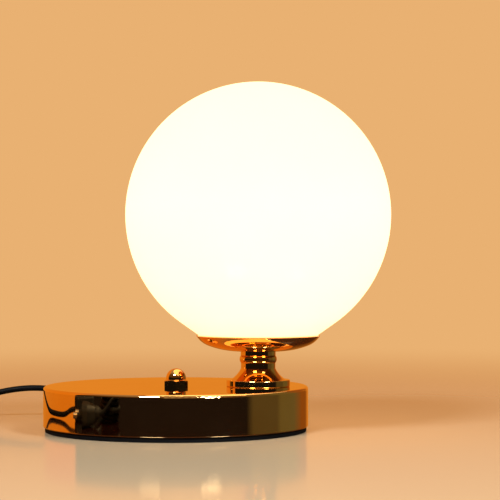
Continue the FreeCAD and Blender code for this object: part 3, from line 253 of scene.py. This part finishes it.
def makeBoard():
    material = bpy.data.materials.new("lacquered_board")
    material.use_nodes = True
    tree = material.node_tree
    tree.nodes.clear()
    where = addNode(tree, "ShaderNodeTexCoord").outputs["Object"]
    cloud = addNode(tree, "ShaderNodeTexNoise",
                    {"Scale": 1000 / board["cloud"], "Detail": board["cloudDetail"]}, {"Vector": where})
    gloss = addNode(tree, "ShaderNodeMapRange", {"To Min": board["gloss"][0], "To Max": board["gloss"][1]},
                    {"Value": cloud})
    lacquer = addNode(tree, "ShaderNodeBsdfPrincipled", {
        "Base Color": toLinear(board["colour"]), "IOR": board["ior"], "Specular IOR Level": board["shine"],
        "Coat Weight": board["coat"], "Coat Roughness": board["coatGloss"],
    }, {"Roughness": gloss})
    inMetal = addNode(tree, "ShaderNodeBsdfPrincipled", {
        "Base Color": toLinear(board["mirrored"]), "IOR": board["ior"], "Roughness": board["mirroredGloss"],
        "Coat Weight": board["mirroredCoat"], "Coat Roughness": board["coatGloss"]})
    away = addNode(tree, "ShaderNodeVectorMath", {"operation": "LENGTH"}, {0: where})
    fade = addNode(tree, "ShaderNodeMapRange", {
        "interpolation_type": "SMOOTHSTEP", "From Min": board["fade"][0], "From Max": board["fade"][1],
    }, {"Value": away.outputs["Value"]})
    path = addNode(tree, "ShaderNodeLightPath").outputs
    faded = addNode(tree, "ShaderNodeMath", {"operation": "MULTIPLY"}, {0: fade, 1: path["Is Camera Ray"]})
    backdrop = addNode(tree, "ShaderNodeEmission", {"Color": toLinear(stage["backdrop"]), "Strength": 1.0})
    plain = addNode(tree, "ShaderNodeMixShader", links={0: path["Is Glossy Ray"], 1: lacquer, 2: inMetal})
    surface = addNode(tree, "ShaderNodeMixShader", links={0: faded, 1: plain, 2: backdrop})
    addNode(tree, "ShaderNodeOutputMaterial", links={"Surface": surface})
    return material


floorMesh = bpy.data.meshes.new("floor")
half = board["size"] / 2
corners = [(x * half, y * half, -board["drop"]) for x, y in ((-1, -1), (1, -1), (1, 1), (-1, 1))]
floorMesh.from_pydata(corners, [], [(0, 1, 2, 3)])
floorMesh.materials.append(makeBoard())
floor = bpy.data.objects.new("floor", floorMesh)
scene.collection.objects.link(floor)

# soft boxes: azimuth from the camera's side, elevation, distance and size in metres, power in watts
boxColour = "#F4F6FF"
boxAim = Vector((0.03, 0, 0.06))
boxes = {
    "left_box": {"azimuth": -24, "elevation": 42, "distance": 1.3, "size": (0.37, 0.28), "power": 17.0},
    "right_box": {"azimuth": 45, "elevation": 42, "distance": 1.3, "size": (0.30, 0.28), "power": 13.8},
    "top_box": {"azimuth": 150, "elevation": 70, "distance": 1.5, "size": (0.9, 0.9), "power": 2.0},
}
# the globe lights itself, so the boxes are flagged off it
flagged = bpy.data.collections.new("flagged")
flagged.objects.link(nodes["globe"])
flagged.collection_objects[0].light_linking.link_state = "EXCLUDE"
for name, box in boxes.items():
    light = bpy.data.lights.new(name, "AREA")
    light.shape = "RECTANGLE"
    light.size, light.size_y = box["size"]
    light.energy = box["power"]
    light.color = toLinear(boxColour)[:3]
    angle = math.radians(box["azimuth"] + lens["turn"])
    rise = math.radians(box["elevation"])
    outwards = Vector((math.sin(angle) * math.cos(rise), -math.cos(angle) * math.cos(rise), math.sin(rise)))
    stand = bpy.data.objects.new(name, light)
    stand.location = boxAim + outwards * box["distance"]
    stand.rotation_euler = outwards.to_track_quat("Z", "Y").to_euler()
    scene.collection.objects.link(stand)
    stand.light_linking.receiver_collection = flagged
print("stage set")

# finishes: two shades in patches, a range of gloss, a fine grain; sizes in millimetres
finishes = {
    # brass plate buffed to a mirror: slow waves in the sheet, hard glints, faint haze where it is handled
    "polished_brass": {"name": "buffed_brass_plate", "shades": ("#EFC27C", "#F4CB88"), "patch": 28,
                       "gloss": (0.02, 0.05), "grain": 7.0, "depth": 0.003, "metallic": 1.0},
    # grey cast iron with a thin black wash, sandy skin
    "iron_weight": {"name": "cast_iron", "shades": ("#2B2A29", "#3D3B39"), "patch": 9,
                    "gloss": (0.55, 0.75), "grain": 1.1, "depth": 0.12, "metallic": 1.0},
    # zinc plated steel, bright with a faint cloudy spangle
    "zinc_steel": {"name": "zinc_plated_steel", "shades": ("#A9ADB0", "#C6C9CB"), "patch": 3,
                   "gloss": (0.24, 0.38), "grain": 0.9, "depth": 0.008, "metallic": 1.0},
    # tempered strip, rolled and left bright
    "spring_steel": {"name": "spring_strip", "shades": ("#8E9297", "#A7ABAF"), "patch": 5,
                     "gloss": (0.2, 0.32), "grain": 0.6, "depth": 0.006, "metallic": 1.0},
    # soft rubber sheet with a fine talc bloom
    "black_rubber": {"name": "rubber_sheet", "shades": ("#080808", "#0E0D0D"), "patch": 6,
                     "gloss": (0.7, 0.85), "grain": 0.7, "depth": 0.03, "ior": 1.52, "shine": 0.1},
    # extruded PVC sheath, satin with slow flow marks
    "black_cord": {"name": "pvc_sheath", "shades": ("#060606", "#0B0A0A"), "patch": 12,
                   "gloss": (0.5, 0.66), "grain": 1.2, "depth": 0.012, "ior": 1.53, "shine": 0.1},
    # injection moulded ABS with a spark eroded texture, drawn coarser than life to show
    "black_moulding": {"name": "moulded_abs", "shades": ("#0F0E0E", "#171616"), "patch": 8,
                       "gloss": (0.52, 0.68), "grain": 0.55, "depth": 0.018, "ior": 1.53, "shine": 0.2},
    # pressed bakelite of the lampholder, smooth with a dull sheen
    "holder_plastic": {"name": "pressed_bakelite", "shades": ("#1E1813", "#2A211A"), "patch": 7,
                       "gloss": (0.28, 0.42), "grain": 1.4, "depth": 0.01, "ior": 1.58},
    # bare stamped brass of the contacts, a dull bright yellow
    "contact_brass": {"name": "stamped_brass", "shades": ("#C9A45A", "#D8B56B"), "patch": 3,
                      "gloss": (0.22, 0.34), "grain": 0.8, "depth": 0.006, "metallic": 1.0},
    # nickel plate on thin drawn shells, a warm grey shine
    "nickel_plate": {"name": "nickel_plate", "shades": ("#BDB9B1", "#D0CCC4"), "patch": 4,
                     "gloss": (0.14, 0.24), "grain": 1.5, "depth": 0.005, "metallic": 1.0},
    # white PBT housing of the bulb, a clean half gloss from the mould
    "bulb_plastic": {"name": "white_pbt", "shades": ("#E4E1DA", "#EDEAE4"), "patch": 10,
                     "gloss": (0.3, 0.42), "grain": 1.6, "depth": 0.01, "ior": 1.55},
    # etched aluminium board, silky and pale
    "board_aluminium": {"name": "aluminium_board", "shades": ("#D7D9DA", "#E6E7E7"), "patch": 4,
                        "gloss": (0.35, 0.5), "grain": 0.5, "depth": 0.008, "metallic": 1.0},
    # black vitrite glass bead under the bulb cap, wet looking
    "black_insulator": {"name": "vitrite_glass", "shades": ("#0B0B0C", "#141415"), "patch": 3,
                        "gloss": (0.08, 0.16), "grain": 1.8, "depth": 0.01, "ior": 1.52},
    # PVC insulated single wires, waxy
    "brown_insulation": {"name": "brown_pvc", "shades": ("#4A2A17", "#5A341D"), "patch": 6,
                         "gloss": (0.35, 0.5), "grain": 0.9, "depth": 0.01, "ior": 1.53},
    "blue_insulation": {"name": "blue_pvc", "shades": ("#1D3F7C", "#264C8E"), "patch": 6,
                        "gloss": (0.35, 0.5), "grain": 0.9, "depth": 0.01, "ior": 1.53},
    # matt white printing ink, a little uneven
    "mark_ink": {"name": "printed_ink", "shades": ("#D9D6CF", "#E6E3DC"), "patch": 1.5,
                 "gloss": (0.5, 0.65), "grain": 0.4, "depth": 0.004, "ior": 1.5},
    # blown opal glass with a satin skin, lit from inside: even creamy glow, warmer low down, with painted
    # shade there: dimmer and redder where the bulb's cap and the dish shade the glass
    "opal_glass": {"name": "opal_glass", "shades": ("#E6E0D4", "#EEE8DD"), "patch": 40,
                   "gloss": (0.22, 0.3), "grain": 22.0, "depth": 0.02, "ior": 1.5,
                   "glow": {"from": 47, "to": 127, "level": 1.9, "colours": [
                       (0.0, "#FF8A62"), (0.1, "#FFC495"), (0.22, "#FFD29E"), (0.5, "#FFD8A5"),
                       (1.0, "#FFDDAF")]}},
    # frosted polycarbonate dome of the bulb, lit: soft white
    "bulb_diffuser": {"name": "frosted_polycarbonate", "shades": ("#F0EADF", "#F6F1E8"), "patch": 20,
                      "gloss": (0.45, 0.55), "grain": 0.9, "depth": 0.01, "ior": 1.58,
                      "glow": {"from": 100, "to": 140, "level": 1.0, "colours": [
                          (0.0, "#FFF0CC"), (1.0, "#FFF6E0")]}},
}
# how every finish reads its noise: octaves, and the spans over which shade and gloss change
patchwork = {"detail": 3.0, "shades": (0.35, 0.65), "gloss": (0.3, 0.7), "grainDetail": 2.0}
plainSockets = {"metallic": "Metallic", "ior": "IOR", "shine": "Specular IOR Level"}


def makeFinish(look):
    material = bpy.data.materials.new(look["name"])
    material.use_nodes = True
    tree = material.node_tree
    tree.nodes.clear()
    where = addNode(tree, "ShaderNodeTexCoord").outputs["Object"]
    patches = addNode(tree, "ShaderNodeTexNoise",
                      {"Scale": 1000 / look["patch"], "Detail": patchwork["detail"]}, {"Vector": where})
    shades = addNode(tree, "ShaderNodeValToRGB", {"stops": list(zip(patchwork["shades"], look["shades"]))},
                     {"Fac": patches})
    gloss = addNode(tree, "ShaderNodeMapRange", {
        "From Min": patchwork["gloss"][0], "From Max": patchwork["gloss"][1],
        "To Min": look["gloss"][0], "To Max": look["gloss"][1],
    }, {"Value": patches})
    grain = addNode(tree, "ShaderNodeTexNoise",
                    {"Scale": 1000 / look["grain"], "Detail": patchwork["grainDetail"]}, {"Vector": where})
    skin = addNode(tree, "ShaderNodeBump", {"Strength": 1.0, "Distance": look["depth"] / 1000},
                   {"Height": grain})
    settings = {socket: look[key] for key, socket in plainSockets.items() if key in look}
    links = {"Base Color": shades, "Roughness": gloss, "Normal": skin}
    if "glow" in look:
        glow = look["glow"]
        upwards = addNode(tree, "ShaderNodeSeparateXYZ", links={"Vector": where}).outputs["Z"]
        rise = addNode(tree, "ShaderNodeMapRange",
                       {"From Min": glow["from"] / 1000, "From Max": glow["to"] / 1000}, {"Value": upwards})
        settings["Emission Strength"] = glow["level"]
        links["Emission Color"] = addNode(tree, "ShaderNodeValToRGB", {"stops": glow["colours"]},
                                          {"Fac": rise})
    shader = addNode(tree, "ShaderNodeBsdfPrincipled", settings, links)
    addNode(tree, "ShaderNodeOutputMaterial", links={"Surface": shader})
    return material


materials = {slot: makeFinish(look) for slot, look in finishes.items()}
for piece in nodes.values():
    for place in piece.material_slots:
        place.material = materials[place.material.name.split(".")[0]]
for cord in (leadCord, mainsCord):
    cord.data.materials.append(materials["black_cord"])
print("finishes applied,", len(materials))

# small moulded and turned details, worked in millimetres until each is put in its place
toMetres = Matrix.Scale(0.001, 4)
facets = {
    "section": 10,
    "barPoints": 15,
    "barEnds": 8.0,  # a higher power gives blunter ends
    "ring": 40,
    "turn": 36,
}


def turnBy(degrees, axis):
    return Matrix.Rotation(math.radians(degrees), 4, axis)


def newTree(name, sockets):
    tree = bpy.data.node_groups.new(name, "GeometryNodeTree")
    tree.interface.new_socket("Geometry", in_out="OUTPUT", socket_type="NodeSocketGeometry")
    for label, kind in sockets.items():
        tree.interface.new_socket(label, in_out="INPUT", socket_type="NodeSocket" + kind)
    tree.interface.new_socket("Material", in_out="INPUT", socket_type="NodeSocketMaterial")
    return tree, addNode(tree, "NodeGroupInput").outputs


def closeTree(tree, grown, given):
    whole = addNode(tree, "GeometryNodeRealizeInstances", links={"Geometry": grown})
    smooth = addNode(tree, "GeometryNodeSetShadeSmooth", links={"Geometry": whole})
    painted = addNode(tree, "GeometryNodeSetMaterial",
                      links={"Geometry": smooth, "Material": given["Material"]})
    addNode(tree, "NodeGroupOutput", links={"Geometry": painted})
    return tree


def makeBarTree():
    # bars side by side along X, each lying along Y with rounded ends
    tree, given = newTree("grip_bars", {
        "Count": "Int", "Pitch": "Float", "Length": "Float", "Radius": "Float"})
    step = addNode(tree, "ShaderNodeCombineXYZ", links={"X": given["Pitch"]})
    row = addNode(tree, "GeometryNodeMeshLine", links={"Count": given["Count"], "Offset": step})
    ends = []
    for share in (-0.5, 0.5):
        reach = addNode(tree, "ShaderNodeMath", {"operation": "MULTIPLY", 1: share}, {0: given["Length"]})
        ends.append(addNode(tree, "ShaderNodeCombineXYZ", links={"Y": reach}))
    line = addNode(tree, "GeometryNodeCurvePrimitiveLine", links={"Start": ends[0], "End": ends[1]})
    fine = addNode(tree, "GeometryNodeResampleCurve", {"Count": facets["barPoints"]}, {"Curve": line})
    along = addNode(tree, "GeometryNodeSplineParameter").outputs["Factor"]
    swing = addNode(tree, "ShaderNodeMath", {"operation": "MULTIPLY_ADD", 1: 2.0, 2: -1.0}, {0: along})
    tail = addNode(tree, "ShaderNodeMath", {"operation": "POWER", 1: facets["barEnds"]}, {0: swing})
    rest = addNode(tree, "ShaderNodeMath", {"operation": "SUBTRACT", 0: 1.0}, {1: tail})
    taper = addNode(tree, "ShaderNodeMath", {"operation": "POWER", 1: 0.5}, {0: rest})
    section = addNode(tree, "GeometryNodeCurvePrimitiveCircle", {"Resolution": facets["section"]},
                      {"Radius": given["Radius"]})
    bar = addNode(tree, "GeometryNodeCurveToMesh", {"Fill Caps": True},
                  {"Curve": fine, "Profile Curve": section, "Scale": taper})
    bars = addNode(tree, "GeometryNodeInstanceOnPoints", links={"Points": row, "Instance": bar})
    return closeTree(tree, bars, given)


def makeRingTree():
    # rings one above the other along Z, changing in size from the first to the last
    tree, given = newTree("relief_rings", {
        "Count": "Int", "Pitch": "Float", "First": "Float", "Last": "Float", "Radius": "Float"})
    step = addNode(tree, "ShaderNodeCombineXYZ", links={"Z": given["Pitch"]})
    row = addNode(tree, "GeometryNodeMeshLine", links={"Count": given["Count"], "Offset": step})
    number = addNode(tree, "GeometryNodeInputIndex")
    top = addNode(tree, "ShaderNodeMath", {"operation": "SUBTRACT", 1: 1.0}, {0: given["Count"]})
    share = addNode(tree, "ShaderNodeMath", {"operation": "DIVIDE"}, {0: given["Last"], 1: given["First"]})
    change = addNode(tree, "ShaderNodeMapRange", {"To Min": 1.0},
                     {"Value": number, "From Max": top, "To Max": share})
    size = addNode(tree, "ShaderNodeCombineXYZ", {"Z": 1.0}, {"X": change, "Y": change})
    hoop = addNode(tree, "GeometryNodeCurvePrimitiveCircle", {"Resolution": facets["ring"]},
                   {"Radius": given["First"]})
    section = addNode(tree, "GeometryNodeCurvePrimitiveCircle", {"Resolution": facets["section"]},
                      {"Radius": given["Radius"]})
    ring = addNode(tree, "GeometryNodeCurveToMesh", links={"Curve": hoop, "Profile Curve": section})
    rings = addNode(tree, "GeometryNodeInstanceOnPoints",
                    links={"Points": row, "Instance": ring, "Scale": size})
    return closeTree(tree, rings, given)


def makeThreadTree():
    # rolled screw thread round Z
    tree, given = newTree("rolled_thread", {
        "Turns": "Float", "Height": "Float", "Around": "Float", "Radius": "Float"})
    spiral = addNode(tree, "GeometryNodeCurveSpiral", {"Resolution": facets["turn"]}, {
        "Rotations": given["Turns"], "Start Radius": given["Around"], "End Radius": given["Around"],
        "Height": given["Height"]})
    section = addNode(tree, "GeometryNodeCurvePrimitiveCircle", {"Resolution": facets["section"]},
                      {"Radius": given["Radius"]})
    thread = addNode(tree, "GeometryNodeCurveToMesh", {"Fill Caps": True},
                     {"Curve": spiral, "Profile Curve": section})
    return closeTree(tree, thread, given)


def growPiece(name, tree, sizes, place, slot, body="lamp"):
    # runs the tree once, keeps its mesh, and moves that to its place in the lamp's frame
    holder = bpy.data.objects.new(name, bpy.data.meshes.new(name))
    scene.collection.objects.link(holder)
    modifier = holder.modifiers.new(name, "NODES")
    modifier.node_group = tree
    given = {**sizes, "Material": materials[slot]}
    for socket in tree.interface.items_tree:
        if socket.in_out == "INPUT":
            modifier[socket.identifier] = given[socket.name]
    mesh = bpy.data.meshes.new_from_object(holder.evaluated_get(bpy.context.evaluated_depsgraph_get()))
    holder.modifiers.clear()
    holder.data = mesh
    mesh.transform(toMetres @ place)
    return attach(holder, body)


barTree = makeBarTree()
ringTree = makeRingTree()
threadTree = makeThreadTree()

# strain relief on the base: rings round the taper of the grommet
grommet = {
    "heading": 136.0,
    "height": 16.5,
    "from": 79.6,
    "rings": {"Count": 8, "Pitch": 2.1, "First": 3.8, "Last": 2.75, "Radius": 0.45},
}
grommetPlace = Matrix.Translation((0, 0, grommet["height"])) @ turnBy(grommet["heading"], "Z")
growPiece("grommet_rings", ringTree, grommet["rings"],
          grommetPlace @ turnBy(90, "Y") @ Matrix.Translation((0, 0, grommet["from"])), "black_moulding")

# plug: rings on its tail, grip bars on both broad faces, black sleeves on the pins
plug = {
    "rear": (-113.8, -110.6, 6.85),
    "heading": 105.0,
    "tailFrom": 1.6,
    "tail": {"Count": 5, "Pitch": 1.7, "First": 3.66, "Last": 4.7, "Radius": 0.4},
    "gripFrom": 13.0,
    "gripRise": 5.35,
    "gripSlope": 6.6,
    "grip": {"Count": 5, "Pitch": 1.6, "Length": 12.0, "Radius": 0.5},
    "face": 36.0,
    "pinSpacing": 18.6,
    "sleeve": 10.5,
    "sleeveRadius": 2.06,
    "sleeveSides": 32,
    "sleeveEdge": 0.3,
    "sleeveEdgeSteps": 2,
}
plugPlace = Matrix.Translation(plug["rear"]) @ turnBy(plug["heading"], "Z")
growPiece("plug_tail_rings", ringTree, plug["tail"],
          plugPlace @ turnBy(90, "Y") @ Matrix.Translation((0, 0, plug["tailFrom"])), "black_moulding")
gripPlace = Matrix.Translation((plug["gripFrom"], 0, plug["gripRise"])) @ turnBy(-plug["gripSlope"], "Y")
for side, turn in (("upper", 0), ("lower", 180)):
    growPiece("plug_grip_" + side, barTree, plug["grip"],
              plugPlace @ turnBy(turn, "X") @ gripPlace, "black_moulding")
sleeves = bmesh.new()
for side in (-0.5, 0.5):
    middle = Matrix.Translation((plug["face"] + plug["sleeve"] / 2, side * plug["pinSpacing"], 0))
    bmesh.ops.create_cone(sleeves, cap_ends=True, segments=plug["sleeveSides"], depth=plug["sleeve"],
                          radius1=plug["sleeveRadius"], radius2=plug["sleeveRadius"],
                          matrix=plugPlace @ middle @ turnBy(90, "Y"))
sharp = math.radians(60)
rims = [edge for edge in sleeves.edges if edge.calc_face_angle() > sharp]
bmesh.ops.bevel(sleeves, geom=rims, offset=plug["sleeveEdge"], segments=plug["sleeveEdgeSteps"],
                affect="EDGES")
sleeveMesh = bpy.data.meshes.new("pin_sleeves")
sleeves.to_mesh(sleeveMesh)
sleeves.free()
sleeveMesh.transform(toMetres)
sleeveMesh.materials.append(materials["black_moulding"])
addPiece("pin_sleeves", sleeveMesh)

# inline switch: finger grips at both ends
switch = {
    "place": (-163.0, -88.0, 0.0),
    "heading": 274.0,
    "top": 15.0,
    "gripFrom": 13.5,
    "grip": {"Count": 4, "Pitch": 2.0, "Length": 12.0, "Radius": 0.45},
}
switchPlace = Matrix.Translation(switch["place"]) @ turnBy(switch["heading"], "Z")
gripPlace = Matrix.Translation((switch["gripFrom"], 0, switch["top"]))
for side, turn in (("near", 0), ("far", 180)):
    growPiece("switch_grip_" + side, barTree, switch["grip"],
              switchPlace @ turnBy(turn, "Z") @ gripPlace, "black_moulding")

# on and off marks, pad printed: a ring and a bar dropped onto the dished top of the rocker
mark = {"at": 4.4, "ring": (1.75, 1.2), "ringSides": 36, "bar": (0.55, 3.2), "barSteps": 6,
        "dropFrom": 30.0, "ink": 0.05}
shape = bmesh.new()
rim = []
for k in range(mark["ringSides"]):
    angle = 2 * math.pi * k / mark["ringSides"]
    for radius in mark["ring"]:
        rim.append(shape.verts.new((radius * math.cos(angle) - mark["at"], radius * math.sin(angle), 0)))
for k in range(0, len(rim), 2):
    shape.faces.new((rim[k], rim[(k + 2) % len(rim)], rim[(k + 3) % len(rim)], rim[k + 1]))
width, length = mark["bar"]
strokes = []
for k in range(mark["barSteps"] + 1):
    along = length * (k / mark["barSteps"] - 0.5)
    strokes.append([shape.verts.new((mark["at"] + side * width, along, 0)) for side in (-0.5, 0.5)])
for low, high in zip(strokes, strokes[1:]):
    shape.faces.new((low[0], low[1], high[1], high[0]))
for vert in shape.verts:
    above = toMetres @ switchPlace @ Vector((vert.co.x, vert.co.y, mark["dropFrom"]))
    vert.co = nodes["switch_rocker"].ray_cast(above, Vector((0, 0, -1)))[1]
raised = bmesh.ops.extrude_face_region(shape, geom=list(shape.faces))["geom"]
bmesh.ops.translate(shape, vec=(0, 0, mark["ink"] / 1000),
                    verts=[part for part in raised if isinstance(part, bmesh.types.BMVert)])
bmesh.ops.recalc_face_normals(shape, faces=list(shape.faces))
markMesh = bpy.data.meshes.new("rocker_marks")
shape.to_mesh(markMesh)
shape.free()
markMesh.materials.append(materials["mark_ink"])
addPiece("rocker_marks", markMesh, "rocker")

# bulb: rolled thread on the screw cap
cap = {"pitch": 2.82, "ridge": 0.4, "sunk": 0.18, "clear": 2.0}
capLow, capHigh = [corner * 1000 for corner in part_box("bulb_cap")]
capMiddle = (capLow + capHigh) / 2
threadHeight = capHigh.z - capLow.z - 2 * cap["clear"]
growPiece("bulb_thread", threadTree, {
    "Turns": threadHeight / cap["pitch"], "Height": threadHeight, "Radius": cap["ridge"],
    "Around": (capHigh.x - capLow.x) / 2 - cap["sunk"],
}, Matrix.Translation((capMiddle.x, capMiddle.y, capLow.z + cap["clear"])), "nickel_plate", "bulb")
print("details grown")
